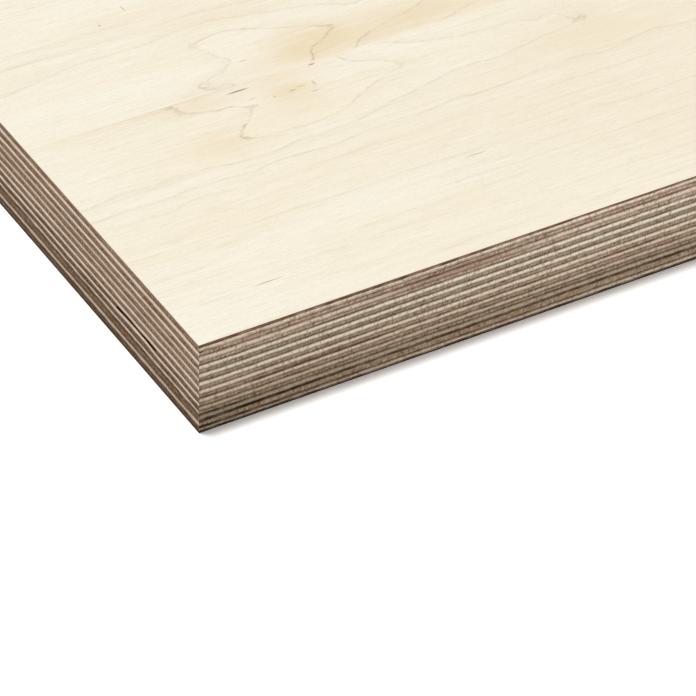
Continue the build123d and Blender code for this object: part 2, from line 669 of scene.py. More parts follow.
def finish_surface(tree, shader, colour, roughness, height, distance, shine):
    """Feeds the shader, with the height as a bump in millimetres."""
    bump = put(tree, "ShaderNodeBump", {"Height": height, "Distance": distance * mm, "Strength": 1.0})
    tree.links.new(colour, shader.inputs["Base Color"])
    tree.links.new(roughness, shader.inputs["Roughness"])
    tree.links.new(bump.outputs[0], shader.inputs["Normal"])
    shader.inputs["Specular IOR Level"].default_value = shine


def attribute(tree, label):
    """A number that was written on the mesh."""
    return put(tree, "ShaderNodeAttribute", attribute_name=label).outputs["Fac"]


def edge_material(name, end_axis, side_colour, end_colour, least, stain=None):
    """The sawn edge of veneers whose fibres end on the faces that look along the named axis."""
    material, tree, shader = new_material(name)
    place = millimetres(tree)
    facing = put(tree, "ShaderNodeNewGeometry").outputs["True Normal"]
    along = put(tree, "ShaderNodeSeparateXYZ", {0: facing}).outputs[end_axis]
    shade = use_group(tree, edge_shade, {"Place": place, "Least": least})["Shade"]
    from_mesh = {label: attribute(tree, label.lower()) for label in ("Rise", "Drop", "Seep", "Shaded")}
    painted = use_group(tree, sawn_edge, from_mesh | {
        "Place": place,
        "End Grain": sums(tree, "GREATER_THAN", sums(tree, "ABSOLUTE", along), 0.5),
        "Side Colour": side_colour,
        "End Colour": end_colour,
        "Glue Colour": glue_colour,
    })
    colour = painted["Colour"]
    if stain:
        centre, reach, strength = stain
        spot = {"Place": place, "Centre": centre, "Reach": reach, "Softness": stain_softness}
        patch = use_group(tree, soft_spot, spot)["Spot"]
        colour = mix(tree, times(tree, patch, strength), colour, stain_colour, "MULTIPLY")
    drift = scaled(tree, noise(tree, place, (0.35, 0.35, 0.4)), 1.6, -0.8)
    drifted = sums(tree, "ADD", attribute(tree, "warmth"), drift)
    tint = mix(tree, smooth(tree, drifted, 0.0, 1.0), cool_tint, warm_tint)
    tint = mix(tree, smooth(tree, drifted, 1.0, 2.0), tint, red_tint)
    level = times(tree, attribute(tree, "tone"), shade)
    red, blue = sums(tree, "POWER", level, red_power), sums(tree, "POWER", level, blue_power)
    tone = put(tree, "ShaderNodeCombineColor", {0: red, 1: level, 2: blue}).outputs[0]
    colour = mix(tree, 1.0, mix(tree, 1.0, colour, tint, "MULTIPLY"), tone, "MULTIPLY")
    roughness, height = painted["Roughness"], painted["Height"]
    finish_surface(tree, shader, colour, roughness, height, relief_depth, sawn_shine)
    return material


def two_tone_material(name, first, second, bumps, roughness, shine):
    """A plain surface that drifts between two colours."""
    material, tree, shader = new_material(name)
    cloud = noise(tree, millimetres(tree), (bumps, bumps, bumps))
    tree.links.new(mix(tree, cloud, first, second), shader.inputs["Base Color"])
    shader.inputs["Roughness"].default_value = roughness
    shader.inputs["Specular IOR Level"].default_value = shine
    return material


stain_centre, stain_reach = on_sheet(80, 0, 4.4), (36, 6, 2.4)
long_stain = (stain_centre, stain_reach, 1.0)
cross_stain = (stain_centre, stain_reach, 0.4)
long_ply_edge = edge_material(
    "long_ply_edge", "X", long_side_colour, long_end_colour, least_shade, long_stain
)
cross_ply_edge = edge_material(
    "cross_ply_edge", "Y", cross_side_colour, cross_end_colour, least_shade, cross_stain
)
# The broad faces inside the stack, pale birch dulled by glue, show only if the stack is taken apart
glued_face = two_tone_material("glued_birch_face", paint(150, 122, 94), paint(144, 116, 88), 0.01, 0.8, 0.5)
# The inside of the core gap is painted near black as shade, for the wood deep in the slit that no light
# reaches
painted_shade_hollow = two_tone_material("painted_shade_hollow", paint(24, 13, 6), paint(42, 26, 14), 0.8, 0.95, 0.0)

# %% [markdown]
# The ply pieces
#
# The wall of a ply is five rows of points. The middle rows are set back by a few hundredths of a
# millimetre, because sawn wood shrinks back from the hard glue lines, which stand out as fine ridges.
# Two faults of this sheet are real holes, and each is cut into its ply with a Boolean: the core gap on
# the short edge, a slit with a waist, and a small void beside the corner on the long edge.

# %% Cutters for the core gap and the corner void
gap_ply, gap_depth, gap_roof_drop = "ply_13_long", 90.0, 0.1
# The height of the gap in millimetres at shares of its length
gap_heights = ((0, 1.05), (0.12, 0.92), (0.28, 0.78), (0.38, 0.58), (0.44, 0.4), (0.5, 0.55),
               (0.62, 0.68), (0.8, 0.7), (0.9, 0.9), (1, 1.05))
void_ply, void_start, void_length, void_height, void_depth = "ply_02_cross", 0.15, 1.3, 0.5, 4.0
void_shares = (0.0, 0.06, 0.2, 0.5, 0.8, 1.0)
void_roundness, void_least, void_above = 0.6, 0.02, 0.3
overshoot = 1.0


def prism(name, outline, push):
    """A closed block: an outline pushed along a vector. Its faces line what it cuts."""
    count = len(outline)
    points = [Vector(p) for p in outline] + [Vector(p) + Vector(push) for p in outline]
    faces = [tuple(range(count)), tuple(range(2 * count - 1, count - 1, -1))]
    faces += [(i, i + count, (i + 1) % count + count, (i + 1) % count) for i in range(count)]
    mesh = make_mesh(name, points, faces, [face_slot] * len(faces), [None, None, None])
    outward = bmesh.new()
    outward.from_mesh(mesh)
    bmesh.ops.recalc_face_normals(outward, faces=outward.faces)
    outward.to_mesh(mesh)
    outward.free()
    return bpy.data.objects.new(name, mesh)


def gap_cutter():
    """The slit: a straight roof, and a floor that bulges up between two blunt ends."""
    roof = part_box(gap_ply)[1].z - gap_roof_drop * mm
    start = low.y + gap_start * mm
    outside = low.x - overshoot * mm
    outline = [(outside, start + gap_length * mm, roof), (outside, start, roof)]
    for share, height in gap_heights:
        outline.append((outside, start + share * gap_length * mm, roof - height * mm))
    return prism("gap_cutter", outline, ((gap_depth + overshoot) * mm, 0, 0))


def void_cutter():
    """The chip: a shallow arc in the top of its ply, under the glue line as it wanders there."""
    start = low.x + void_start * mm
    top = glue_line(ply_names.index(void_ply), np.array([start]), np.array([low.y]))[0]
    outside = low.y - overshoot * mm
    above = top + void_above * mm
    outline = [(start + void_length * mm, outside, above), (start, outside, above)]
    for share in void_shares:
        sag = math.sin(math.pi * share) ** void_roundness * void_height
        outline.append((start + share * void_length * mm, outside, top - (sag + void_least) * mm))
    return prism("void_cutter", outline, (0, (void_depth + overshoot) * mm, 0))


def cut(mesh, cutter):
    """The mesh with the cutter taken out of it."""
    scratch = stand("scratch", mesh)
    bpy.context.scene.collection.objects.link(cutter)
    boolean = scratch.modifiers.new("cut", "BOOLEAN")
    boolean.operation = "DIFFERENCE"
    boolean.solver = "EXACT"
    boolean.object = cutter
    ready = scratch.evaluated_get(bpy.context.evaluated_depsgraph_get())
    result = bpy.data.meshes.new_from_object(ready)
    bpy.data.objects.remove(scratch)
    bpy.data.objects.remove(cutter)
    result.name = mesh.name
    return result


# %% Make the plies
wall_shares = (1.0, 0.84, 0.5, 0.16, 0.0)
set_back_shape = (0.0, 0.7, 1.0, 0.7, 0.0)
set_back_depth = 0.05 * mm
ply_map_rows = 32
ply_wall_top = 0.97
hollow_box = (low, Vector((low.x + gap_depth * mm, low.y + (gap_start + gap_length) * mm, high.z)))
# How much the set-back swings, and how fast in radians to a metre
swing, swing_along, swing_across = 0.5, 900, 700
# How bright each ply is on both edges, from the face down
front_tones = (1.00, 0.93, 0.84, 0.97, 0.98, 0.73, 0.96, 0.68, 0.95, 0.75,
               0.88, 0.76, 0.79, 0.74, 0.69, 0.74, 0.57, 0.88, 1.00)
left_tones = (0.93, 0.92, 0.84, 1.00, 0.95, 0.78, 0.93, 0.78, 1.00, 0.96,
              0.90, 0.92, 0.65, 1.00, 0.63, 1.02, 0.78, 0.88, 0.60)
brighter_away, brighter_run = 0.14, 120.0
end_thirst, side_thirst = 1.15, 0.8
corner_light, corner_dark = 0.45, 0.3
# How warm the colour of each ply is: 0 cool, 1 warm, 2 red
front_warmth = (0.8,) * 4 + (0.2,) * 6 + (0.9,) * 5 + (0.6,) * 4
left_warmth = 1.0
# How far the glue of each line has soaked into the wood, from the face down
front_soak = (2.9, 0.7, 0.9, 0.4, 0.9, 0.3, 0.8, 0.3, 0.7, 0.3,
              0.7, 0.4, 1.0, 0.5, 0.8, 0.7, 0.8, 1.5, 1.0, 1.7)
left_soak = (0.2, 0.6, 0.6, 0.7, 0.6, 0.7, 0.6, 0.7, 0.6, 0.7,
             0.6, 0.7, 0.7, 1.0, 0.9, 0.9, 1.9, 1.0, 1.6, 1.0)
# Lines with more glue on a stretch of the long edge: where it starts and ends, and how much more
heavy_lines = {12: (13, 63, 0.7), 16: (-40, 24, 0.6), 17: (-40, 55, 0.4), 18: (-40, 60, 0.4)}
# Lines painted nearly black near the corner on the long edge, as shade: how much, and over what run
painted_shade_lines = {15: (0.3, 9), 16: (1.0, 20), 17: (1.0, 45), 18: (1.0, 14), 19: (1.0, 20)}
# The face's own line grows thinner past this place on the long edge
thinner_past, thinner_run, thinner_by = 50.0, 80.0, 0.5
soak_waves, soak_seed = ((0.21, 0.08), (0.047, 0.08), (0.019, 0.06)), 300
heavy_start_run, heavy_end_run, heavy_end_early = 6.0, 30.0, 25.0
most_soak = 5.0
# The lower long plies are painted darker near the corner, as shade: how much, and over what run
corner_painted_shade, corner_painted_shade_run = 0.30, 18.0
# From which ply that painted shade starts, and over how many plies it grows
corner_shade_from_ply, corner_shade_plies = 12, 5
upper_share, upper_share_under_face = 0.6, 0.4
corner_width, edge_width = 0.1, 1.0


def seep(number, x, y, on_end):
    """How far and how darkly the glue of one line has soaked in: more where it pooled near the corner."""
    from_left, from_front = from_corner(x, y)
    base = np.where(on_end, left_soak[number], front_soak[number])
    base = base + waves(x, y, soak_waves, soak_seed + number)
    if number == 0:
        base = base * (1 - thinner_by * soft_step((from_left - thinner_past) / thinner_run))
    if number in heavy_lines:
        start, end, extra = heavy_lines[number]
        window = soft_step((from_left - start) / heavy_start_run)
        window = window * (1 - soft_step((from_left - end + heavy_end_early) / heavy_end_run))
        base = base + extra * window * ~on_end * (from_front < edge_width)
    return np.clip(base, 0.0, most_soak)


def shaded(line, from_left):
    """How much painted shade darkens one glue line along the long edge."""
    strength, run = painted_shade_lines.get(line, (0, 1))
    return strength * np.exp(-(from_left / run) ** 2)


def ply_values(mesh, number):
    """The distances to the two glue lines and the rest at each face corner, by where the face looks."""
    points = mesh_numbers(mesh.vertices, "co", np.float64, 3)
    x, y, z = points[mesh_numbers(mesh.loops, "vertex_index", np.int32)].T
    from_left, from_front = from_corner(x, y)
    looks = mesh_numbers(mesh.polygons, "normal", np.float64, 3)
    on_end = np.repeat(np.abs(looks[:, 0]) > 0.5, mesh_numbers(mesh.polygons, "loop_total", np.int32))
    upper, lower = glue_line(number, x, y), glue_line(number + 1, x, y)
    up = between(z, lower, upper)
    by_top = up > (upper_share_under_face if number == 0 else upper_share)
    red_line = (number == 0) & (up > upper_share) & ~on_end
    ends_show = on_end == (number % 2 == 0)
    soak = np.where(by_top, seep(number, x, y, on_end), seep(number + 1, x, y, on_end))
    # Painted shade: the lower long plies grow darker towards the corner
    low_down = soft_step((number - corner_shade_from_ply) / corner_shade_plies) * (number % 2 == 0)
    corner_shade = 1 - corner_painted_shade * low_down * np.exp(-from_left / corner_painted_shade_run)
    at_corner = (from_left < corner_width) & (from_front < corner_width)
    chipped = 1 + at_corner * np.where(on_end, corner_light, -corner_dark)
    away = 1 + brighter_away * soft_step(from_left / brighter_run)
    return {
        "shaded": np.where(by_top, shaded(number, from_left), shaded(number + 1, from_left)) * ~on_end,
        "rise": np.maximum(z - lower, 0) / mm,
        "drop": np.maximum(upper - z, 0) / mm,
        "seep": soak * np.where(ends_show, end_thirst, side_thirst),
        "tone": np.where(on_end, left_tones[number], front_tones[number] * corner_shade * away) * chipped,
        "warmth": np.where(on_end, left_warmth, front_warmth[number] + red_line),
    }


def make_ply(number, name):
    """One ply as a closed mesh between its two glue lines."""
    x, y = edge_ring.places.T
    upper, lower = glue_line(number, x, y), glue_line(number + 1, x, y)
    uneven = 1 + swing * np.sin(x * swing_along + number) * np.sin(y * swing_across - number)
    rows = []
    for share, back in zip(wall_shares, set_back_shape):
        inset = edge_ring.inward * (set_back_depth * uneven * back)[:, None]
        rows.append(np.column_stack([x + inset[:, 0], y + inset[:, 1], lower + share * (upper - lower)]))
    faces = []
    for row in range(len(rows) - 1):
        faces += edge_ring.wall((row + 1) * edge_ring.count, row * edge_ring.count)
    slots = [edge_slot] * len(faces)
    faces += edge_ring.cap(0, True) + edge_ring.cap((len(rows) - 1) * edge_ring.count, False)
    slots += [hidden_slot] * (len(faces) - len(slots))
    long_grain = name.endswith("long")
    materials = [long_ply_edge if long_grain else cross_ply_edge, glued_face, painted_shade_hollow]
    mesh = make_mesh(name + "_veneer", np.concatenate(rows), faces, slots, materials)
    if name == gap_ply:
        mesh = cut(mesh, gap_cutter())
    if name == void_ply:
        mesh = cut(mesh, void_cutter())
    set_values(mesh, ply_values(mesh, number), "CORNER")
    lay_out_map(mesh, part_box(name), 1, ply_map_rows, ply_wall_top, hollow_box)
    return put_in_place(name + "_veneer", mesh, name)


plies = [make_ply(number, name) for number, name in enumerate(ply_names)]
print("ply faces:", sum(len(ply.data.polygons) for ply in plies))

# %% [markdown]
# The figure of the face
#
# Maple shows its yearly rings as thin lines. Where the knife met the log flat on, they close into
# flames and arches, and further out they run straight. Drawing lines would give loose strokes, so
# instead every point of a leaf gets an age, counted in rings, and a line appears wherever the age
# passes a whole number. Near the corner the ages come from a few places picked on the lines of the
# picture, with a smooth surface bent through them. The rest of the sheet, which the picture doesn't
# show, follows a formula: leaves are opened like a book, so each joint with a flame is mirrored on both
# sides.

# %% Places on the rings near the corner, in millimetres from it along the sheet and across it
# Each row is one age, counted in rings from the outline of the flame: below 0 inside it, above 0 outside
leaf_joint = (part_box(face_names[0])[1].y - low.y) / mm
first_leaf_rings = {
    0: ((45.8, 99.6), (44.1, 98.6), (43.1, 97.6), (44.4, 96.2), (50, 93.7), (56.3, 91.8), (63, 90.2),
        (67.5, 89), (64, 86), (60.2, 82), (57, 79), (56, 77), (58.4, 75.5), (65.4, 73.8), (75.2, 73.5),
        (81.9, 74.1), (87.5, 75), (93.4, 78), (100.4, 81.4), (107.4, 84.3), (113.7, 86), (114.5, 87.4),
        (111.3, 90.2), (105, 93.8), (100.4, 96.1), (99.6, 98.9)),
    1: ((1.8, 67.9), (9.9, 69.1), (21.6, 68.9), (36, 68.8), (48.6, 67), (60, 66.5), (79.2, 67.9),
        (90, 69), (102.5, 72), (114.4, 74.3), (123.5, 76.4), (134.4, 77), (146, 77.4), (156, 79.2),
        (165.6, 80.2), (171.6, 81.2), (174, 82.6), (168.8, 84), (160, 87), (148, 89.6), (136, 90.8),
        (126.4, 93.4), (118.4, 96.4), (114, 98.8)),
    2: ((0, 61.4), (9.9, 61.8), (27, 61.7), (39.6, 62.3), (61.2, 62.6), (74.7, 61.4), (90, 62.9),
        (108, 63.1), (124, 63.8), (140, 64.2), (169.6, 64), (199.2, 65)),
    -0.4: ((58, 97), (70, 99), (85, 99), (72, 93), (82, 86), (70, 79), (88, 80), (98, 87), (90, 92),
           (94, 98)),
    -0.25: ((52, 98.5), (107, 88)),
    0.4: ((52, 87), (60, 87), (47, 80), (36, 96), (30, 99), (50, 76)),
    0.6: ((0, 80), (18, 80), (34, 78), (0, 92), (20, 92), (8, 99), (124, 84), (128, 88), (70, 70.6),
          (112, 96), (140, 84), (155, 84), (166, 82.6)),
    1.5: ((180, 82.8), (200, 82), (150, 96), (130, 99), (190, 95)),
}
second_leaf_rings = {
    0: ((66.8, 101), (62.6, 102.3), (58.4, 103.1), (57.2, 104.5), (58.4, 105.5), (63.3, 107.1),
        (68.6, 109.2), (71.8, 112.7), (69.6, 115), (67.9, 118.9), (65.8, 122.4), (64.8, 123.8),
        (71.7, 125.5), (79.1, 125.6), (84.3, 123.5), (89.9, 120.6), (96.9, 117.7), (103.2, 114.7),
        (106.7, 113.3), (104.6, 111.5), (99, 107.9), (95.5, 106.3), (93.4, 101.7), (92, 100.2)),
    1: ((5.6, 126.6), (13.6, 128), (22.4, 129.4), (36, 131.2), (48, 131), (60.8, 131.8), (70.4, 132.6),
        (84, 130.8), (92.4, 128.7), (103, 126.5), (112.8, 122.5), (118.4, 120.4), (140, 116.5),
        (165, 113), (150, 112.3), (135.2, 111.6), (125.6, 108.5), (115.8, 105.8), (110.2, 103.7),
        (106.7, 100.2)),
    2: ((12, 138.3), (28, 138), (42.4, 137.8), (56, 137), (74.4, 138), (91.2, 136.2), (130, 131),
        (170, 122), (200, 108), (150.8, 104.2), (142.4, 102.2), (135.2, 100.2)),
    -0.4: ((76, 104), (80, 110), (78, 116), (74, 121), (88, 116), (97, 112), (86, 105)),
    0.4: ((52, 105), (58, 110), (64, 113), (60, 119), (58, 125), (74, 129), (98, 105), (108, 109)),
    0.6: ((0, 104), (20, 104), (38, 106), (0, 115), (20, 117), (42, 118), (30, 124), (112, 116),
          (126, 114)),
    1.5: ((175, 112), (130, 104), (145, 107.5), (0, 132), (160, 119)),
}
first_straight_rows = (57.4, 50.2, 46.4, 40.8, 35.5, 29.6, 25.0, 18.8, 15.4, 8.4, 5.3, 0.5)
second_straight_rows = (141.8, 148.3, 152.6, 158.5, 163.4, 169.2, 174.0, 179.8, 184.6, 190.0, 195.6)
straight_places = (0, 30, 60, 90, 120, 150, 180, 210, 240)
straight_sway, straight_sway_length, straight_sway_shift = 0.6, 37, 1.3
plate_scale, plate_give = 100.0, 2e-5
ring_step = 5.22


def with_straight_rows(rings, rows):
    """Adds the nearly straight lines that follow outside the arches."""
    for number, across in enumerate(rows):
        rings[3 + number] = tuple(
            (x, across + straight_sway * math.sin(x / straight_sway_length + straight_sway_shift * number))
            for x in straight_places
        )
    return rings


def bent_through(rings):
    """A thin plate bent through the places: a function that gives the age anywhere near them."""
    places = np.array([place for row in rings.values() for place in row])
    ages = np.concatenate([[age] * len(row) for age, row in rings.items()])

    def spring(apart):
        squared = np.maximum((apart ** 2).sum(axis=-1), 1e-9)
        return 0.5 * squared * np.log(squared)

    count = len(places)
    unit = places / plate_scale
    plane = np.column_stack([np.ones(count), unit])
    system = np.zeros((count + 3, count + 3))
    system[:count, :count] = spring(unit[:, None] - unit[None]) + plate_give * np.eye(count)
    system[:count, count:] = plane
    system[count:, :count] = plane.T
    weights = np.linalg.solve(system, np.concatenate([ages, np.zeros(3)]))

    def age(x, y):
        here = np.column_stack([x, y]) / plate_scale
        bend = spring(here[:, None] - unit[None]) @ weights[:count]
        return bend + weights[count] + here @ weights[count + 1:]

    return age


first_leaf_age = bent_through(with_straight_rows(first_leaf_rings, first_straight_rows))
second_leaf_age = bent_through(with_straight_rows(second_leaf_rings, second_straight_rows))
corner_and_flame = (np.array([0.0, 80.0]), np.array([0.0, 85.0]))
print("ages at the corner and in the first flame:", first_leaf_age(*corner_and_flame))

# %% Ages over the whole sheet
face_side, back_side = 0, 40
drawn_end, drawn_fade = 205.0, 110.0
leaf_width = (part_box(face_names[1])[1].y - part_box(face_names[1])[0].y) / mm
flame_spacing = 2 * leaf_width
# The flames away from the corner: how far from the joint they lie, how wide they are and how they taper
flame_middle, middle_ripples = 11, ((150, 5), (47, 2))
flame_depth, depth_ripples = 17, ((118, 9), (39, 3.5))
taper_ripples, taper_reach = ((210, 12),), 70
flame_sway, flame_age = ((0.6, 2.2), (0.23, 0.9), (0.07, 0.35)), 3.7
flame_seed, sway_seed = 700, 720


def ripple(along, level, parts, phases):
    """A level with sine waves on it; parts gives each one's length and height."""
    for (length, height), phase in zip(parts, phases):
        level = level + height * np.sin(along / length + phase)
    return level


def general_age(x, y, seed):
    """Arches and flames beside every second joint, running out into straight lines."""
    joint = np.round((y - leaf_joint) / flame_spacing)
    out = np.abs(y - leaf_joint - joint * flame_spacing)
    age = np.zeros_like(x)
    for number in np.unique(joint):
        here = joint == number
        chance = np.random.default_rng(int(flame_seed + seed + number))
        phase = chance.uniform(0, 2 * math.pi, 5)
        along, away = x[here], out[here]
        middle = ripple(along, flame_middle, middle_ripples, phase[:2])
        depth = ripple(along, flame_depth, depth_ripples, phase[2:4])
        taper = ripple(along, 0, taper_ripples, phase[4:]) * np.exp(-(away / taper_reach) ** 2)
        sway = waves(along * mm, away * mm, flame_sway, int(sway_seed + seed + number))
        bent = np.sqrt((away - middle) ** 2 + depth ** 2) + taper + sway
        age[here] = bent / ring_step - flame_age
    return age


def ring_age(x, y, side):
    """The age at places in millimetres from the near corner, on the face or the back."""
    age = general_age(x, y, side)
    near = (x < drawn_end + drawn_fade) & (y < leaf_joint + leaf_width + 1)
    if side == face_side and near.any():
        in_first = y[near].mean() < leaf_joint
        drawn = (first_leaf_age if in_first else second_leaf_age)(x[near], y[near])
        share = 1 - soft_step((x[near] - drawn_end) / drawn_fade)
        age[near] = share * drawn + (1 - share) * age[near]
    return age


# %% Warm places and stained lines near the corner: along, across, half length, half width, strength
warm_places = (
    (120, 107, 36, 8.5, 0.9), (95, 111, 12, 10, 0.55), (150, 106, 26, 7, 0.2), (85, 134, 30, 6, 0.35),
    (78, 103, 34, 6, 0.3), (72, 98, 36, 5, 0.3), (60, 146, 30, 5, 0.25), (160, 135, 50, 16, 0.3),
    (54, 96, 11, 4, 0.45), (80, 90.3, 7.5, 3.8, 0.6), (79, 87, 9.5, 8.5, 0.42), (50, 77, 9, 6, 0.5),
    (32, 99.5, 30, 1.8, 0.5), (178, 80, 36, 16, 0.45), (82, 98, 18, 3.5, 0.5), (165, 44, 80, 32, 0.45),
)
stained_places = (
    (45, 97.5, 4, 3, 1.1), (52, 94, 9, 4, 0.7), (60, 91, 6, 3, 0.5), (59, 81, 4, 4, 1.1),
    (57, 77, 4, 3, 1.0), (84, 90, 5, 4, 0.4), (172, 82.5, 6, 3, 0.5), (104, 95, 6, 4, 0.5),
    (66, 89.5, 5, 1.5, 0.6),
    (95, 104, 4, 6, 1.1), (103, 112, 6, 4, 0.8), (68, 124, 5, 3, 0.6), (80, 125, 6, 3, 0.5),
    (59, 104, 4, 3, 0.8), (143, 102, 9, 3, 0.7), (112, 104, 7, 4, 0.6),
)
most_spot = 1.2


def spots(x, y, places):
    """The sum of soft spots on one leaf, at places in millimetres from the near corner."""
    total = np.zeros_like(x)
    first_leaf = y.mean() < leaf_joint
    for along, across, half_length, half_width, strength in places:
        if (across < leaf_joint) != first_leaf:
            continue
        away = np.hypot((x - along) / half_length, (y - across) / half_width)
        total += strength * np.exp(-away ** 3)
    return np.clip(total, 0, most_spot)


# %% [markdown]
# How a maple face is painted
#
# Three things lie over one another on planed maple. The ring lines are thin, soft and a little redder
# than the wood. Between them run fine flecks, the ends of the rays, all along the grain. Under both,
# the colour drifts from cream to tan in long clouds. Each is a node group, so that the face, the back
# and later a picture frame or a table top could share them.

# %% Node group: ring lines
def build_ring_lines():
    """Thin lines where the age is whole, with a soft shade that deepens on the older side of each line."""
    inputs = {"Age": "value", "Slope": "value", "Place": "place", "Width": "value"}
    tree, given = new_group("ring_lines", inputs, {"Line": "value", "Shade": "value"})
    place = given["Place"]
    shiver = sums(tree, "SUBTRACT", noise(tree, place, (0.25, 0.8, 0.8), 3.0, 0.65), 0.5)
    shifted = scaled(tree, shiver, times(tree, given["Slope"], 2.0), given["Age"])
    nearest = sums(tree, "ROUND", shifted)
    gap = sums(tree, "SUBTRACT", shifted, nearest)
    away = sums(tree, "DIVIDE", sums(tree, "ABSOLUTE", gap), sums(tree, "MAXIMUM", given["Slope"], 0.06))
    line = smooth(tree, away, 0.0, given["Width"], 1.0, 0.0)
    each = put(tree, "ShaderNodeTexWhiteNoise", {"W": nearest}, noise_dimensions="1D").outputs["Value"]
    cloud = noise(tree, place, (0.022, 0.3, 0.3), 2.0, 0.6)
    pits = noise(tree, place, (0.5, 1.2, 1.2), 2.0, 0.6)
    fade = times(tree, smooth(tree, cloud, 0.32, 0.60, 0.3, 1.0), smooth(tree, pits, 0.3, 0.6, 0.45, 1.0))
    plain = times(tree, scaled(tree, each, 0.45, 0.2), smooth(tree, cloud, 0.44, 0.60))
    marked = smooth(tree, shifted, 2.2, 3.2, 1.0, 0.0)
    real = smooth(tree, shifted, -0.3, -0.1)
    strength = times(tree, fade, sums(tree, "MAXIMUM", plain, marked), real)
    part = sums(tree, "FRACT", shifted)
    deepening = sums(tree, "POWER", sums(tree, "SUBTRACT", 1.0, part), 3.0)
    return give(tree, {"Line": times(tree, line, strength), "Shade": times(tree, deepening, strength)})


ring_lines = build_ring_lines()

# %% Node group: fibre flecks
def build_fibre_flecks():
    """Fine pale and dark dashes along the grain, and the height of the open fibres."""
    outputs = {"Dark": "value", "Pale": "value", "Height": "value"}
    tree, given = new_group("fibre_flecks", {"Place": "place", "Grain": "place"}, outputs)
    place = vectors(tree, "MULTIPLY", given["Place"], given["Grain"])
    fine = noise(tree, place, (1, 1, 1), 3.0, 0.6)
    coarse = noise(tree, place, (0.35, 0.4, 0.4))
    threads = noise(tree, place, (0.10, 0.6, 0.6), 4.0, 0.75)
    pores = noise(tree, given["Place"], (0.9, 1.5, 1.5), 2.0, 0.6)
    dark = times(tree, smooth(tree, fine, 0.50, 0.72), 0.6)
    dark = scaled(tree, smooth(tree, threads, 0.48, 0.72), 0.6, dark)
    dark = scaled(tree, smooth(tree, pores, 0.48, 0.70), 0.45, dark)
    pale = smooth(tree, coarse, 0.54, 0.76)
    return give(tree, {"Dark": sums(tree, "MINIMUM", dark, 1.0), "Pale": pale, "Height": fine})


fibre_flecks = build_fibre_flecks()

# %% Material: maple face
maple_cream = paint(249, 244, 228)
maple_warm = paint(247, 237, 214)
maple_tan = paint(238, 220, 186)
ring_colour = paint(206, 192, 160)
stained_ring_colour = paint(186, 136, 102)
fleck_colour = paint(222, 209, 180)
streak_colour = paint(122, 66, 50)
pale_fleck_colour = paint(252, 248, 234)
# Short dark marks: along, across, half length, half width, strength, softness
streaks = (
    (46, 100.1, 46, 0.28, 0.12, 0.5), (66, 97.4, 4.8, 0.4, 0.8, 0.6), (91.2, 99, 1.6, 0.5, 0.65, 0.8),
    (109.6, 38.4, 5, 0.28, 0.5, 0.8), (29.5, 15.4, 6.5, 0.28, 0.55, 0.8), (13.5, 15.2, 9, 0.3, 0.2, 0.8),
    (47, 145.8, 0.6, 0.5, 0.5, 0.7), (57.1, 150.5, 0.45, 2.2, 0.3, 0.7), (74.7, 110, 2, 0.35, 0.3, 0.7),
    (67.8, 92, 1.7, 0.3, 0.3, 0.6), (74, 90, 0.8, 0.5, 0.3, 0.7), (80, 90.3, 1.5, 0.35, 0.45, 0.6),
    (87.2, 90.6, 0.5, 1.9, 0.3, 0.7), (83.2, 91, 2.2, 0.4, 0.25, 0.7), (85.6, 87.1, 1.7, 0.35, 0.3, 0.7),
)
streak_depth = 5
ring_line_width = 0.6
sanded_relief, sanded_shine = 0.03, 0.3


def maple_material(name, with_streaks):
    """Planed maple, from the ages on the mesh."""
    material, tree, shader = new_material(name)
    place = millimetres(tree)
    cloud = noise(tree, place, (0.006, 0.03, 0.03), 3.0, 0.55)
    base = mix(tree, smooth(tree, cloud, 0.3, 0.7), maple_cream, maple_warm)
    base = mix(tree, times(tree, attribute(tree, "warm"), 0.85), base, maple_tan)
    ages = {"Age": attribute(tree, "ring_age"), "Slope": attribute(tree, "ring_slope")}
    lines = use_group(tree, ring_lines, ages | {"Place": place, "Width": ring_line_width})
    flecks = use_group(tree, fibre_flecks, {"Place": place, "Grain": (0.16, 1.9, 1.9)})
    base = mix(tree, times(tree, lines["Shade"], 0.16), base, ring_colour)
    base = mix(tree, times(tree, flecks["Dark"], 0.5), base, fleck_colour)
    base = mix(tree, times(tree, flecks["Pale"], 0.35), base, pale_fleck_colour)
    stained = attribute(tree, "stained")
    line_colour = mix(tree, stained, ring_colour, stained_ring_colour)
    depth = scaled(tree, stained, 0.22, 0.38)
    colour = mix(tree, times(tree, lines["Line"], depth), base, line_colour)
    for along, across, half_length, half_width, strength, softness in streaks if with_streaks else ():
        centre, reach = on_sheet(along, across, 0), (half_length, half_width, streak_depth)
        mark = {"Place": place, "Centre": centre, "Reach": reach, "Softness": softness}
        spot = use_group(tree, soft_spot, mark)["Spot"]
        colour = mix(tree, times(tree, spot, strength), colour, streak_colour)
    colour = mix(tree, 1.0, colour, grey(tree, attribute(tree, "tone")), "MULTIPLY")
    roughness = smooth(tree, flecks["Height"], 0.2, 0.8, 0.5, 0.66)
    height = sums(tree, "SUBTRACT", flecks["Height"], times(tree, lines["Line"], 0.4))
    finish_surface(tree, shader, colour, roughness, height, sanded_relief, sanded_shine)
    return material


maple_face = maple_material("maple_face", True)
maple_back = maple_material("maple_back", False)
veneer_least_shade = 0.5
veneer_edge = edge_material(
    "veneer_edge", "X", paint(176, 146, 120), paint(212, 188, 166), veneer_least_shade
)
# The back veneer's long edge is painted near black: partly its own dark glue line, partly painted contact
# shadow along the bottom
back_veneer_edge = edge_material(
    "back_veneer_edge", "X", paint(42, 31, 23), paint(112, 90, 72), veneer_least_shade
)
print("maple face has", len(maple_face.node_tree.nodes), "nodes")

